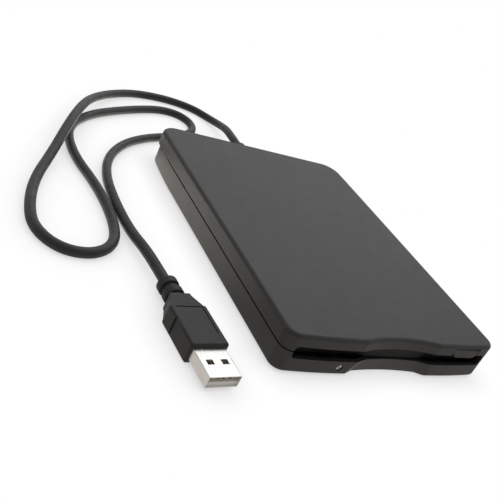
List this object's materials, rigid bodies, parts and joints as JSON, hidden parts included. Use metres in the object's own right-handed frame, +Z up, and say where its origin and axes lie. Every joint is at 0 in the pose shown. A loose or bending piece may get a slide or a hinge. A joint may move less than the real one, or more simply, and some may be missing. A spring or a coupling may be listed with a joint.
{
  "type": "external floppy disk drive",
  "caption": "Slim external floppy disk drive with a slotted two-part case, eject button, flap, disk mechanism inside and a fixed USB cord with plug.",
  "frame": {"origin": "middle of the case footprint on the surface that the feet stand on", "axes": "-Y is the front with the disk slot, +Y the rear with the cord, +X the right side seen from the front, +Z up"},
  "size_m": [0.1708, 0.2214, 0.0167],
  "materials": {
    "black_case": "fine satin moulding",
    "rubber": "matt",
    "screw_steel": "blackened",
    "lamp_lens": "frosted lens",
    "sheet_steel": "zinc plated sheet",
    "circuit_board": "solder mask",
    "chip_black": "moulded package",
    "copper_coil": "enamelled copper",
    "bronze": "sintered",
    "inner_plastic": "moulded",
    "ceramic": "ground ceramic",
    "magnet": "bonded ferrite",
    "ribbon": "flat cable",
    "cord_jacket": "satin vinyl",
    "plug_steel": "nickel plate",
    "tongue_white": "moulded",
    "contact_gold": "gold plate"
  },
  "bodies": {
    "case": {"bottom_shell": "black_case", "top_shell": "black_case", "rubber_feet": "rubber", "case_screws": "screw_steel", "led_lens": "lamp_lens", "drive_chassis": "sheet_steel", "shield_cover": "sheet_steel", "cover_screws": "screw_steel", "spindle_board": "circuit_board", "control_board": "circuit_board", "control_chips": "chip_black", "stator_coils": "copper_coil", "spindle_bearing": "bronze", "stepper_motor": "sheet_steel", "guide_rod": "sheet_steel", "lever_post": "sheet_steel", "flap_pin": "sheet_steel", "usb_board": "circuit_board", "usb_chips": "chip_black", "ribbon_cable": "ribbon", "disk_sensors": "chip_black", "cord_boot": "cord_jacket", "usb_cord": "cord_jacket", "plug_boot": "cord_jacket", "plug_grip": "cord_jacket", "plug_shell": "plug_steel", "plug_tongue": "tongue_white", "plug_contacts": "contact_gold"},
    "ejector": {"eject_button": "black_case", "eject_slide": "sheet_steel"},
    "carrier": {"disk_carrier": "sheet_steel"},
    "spindle": {"spindle_rotor": "sheet_steel", "hub_magnet": "magnet"},
    "screw": {"lead_screw": "sheet_steel"},
    "heads": {"head_carriage": "inner_plastic", "lower_head": "ceramic"},
    "head_arm": {"upper_head_arm": "inner_plastic", "upper_head": "ceramic"},
    "lever": {"shutter_lever": "sheet_steel"},
    "flap": {"dust_flap": "black_case"}
  },
  "joints": [
    {"name": "eject_press", "type": "slide", "parent": "case", "child": "ejector", "axis": [0, -1, 0], "range_m": [0, 0.0045]},
    {"name": "carrier_drop", "type": "slide", "parent": "case", "child": "carrier", "axis": [0, 0, -1], "range_m": [0, 0.0018]},
    {"name": "spindle_turn", "type": "hinge", "parent": "case", "child": "spindle", "pos_m": [0, -0.017, 0.005], "axis": [0, 0, 1], "continuous": true},
    {"name": "screw_turn", "type": "hinge", "parent": "case", "child": "screw", "pos_m": [-0.01, 0.03, 0.0084], "axis": [0, 1, 0], "range_deg": [0, 1800]},
    {"name": "head_step", "type": "slide", "parent": "case", "child": "heads", "axis": [0, -1, 0], "range_m": [0, 0.015]},
    {"name": "arm_lower", "type": "hinge", "parent": "heads", "child": "head_arm", "pos_m": [0.0025, 0.0525, 0.01], "axis": [1, 0, 0], "range_deg": [0, 7]},
    {"name": "lever_swing", "type": "hinge", "parent": "case", "child": "lever", "pos_m": [-0.038, 0.036, 0.012], "axis": [0, 0, 1], "range_deg": [0, 55], "stiffness_Nm_per_rad": 0.002, "springref_deg": -8.59},
    {"name": "flap_swing", "type": "hinge", "parent": "case", "child": "flap", "pos_m": [0, -0.0658, 0.0129], "axis": [1, 0, 0], "range_deg": [0, 80], "stiffness_Nm_per_rad": 0.0001, "springref_deg": -11.46}
  ],
  "couplings": [
    {"joint": "carrier_drop", "follows": "eject_press", "ratio": 0.4},
    {"joint": "arm_lower", "follows": "eject_press", "rad_per_m": 27.147},
    {"joint": "screw_turn", "follows": "head_step", "rad_per_m": 2094.4}
  ]
}
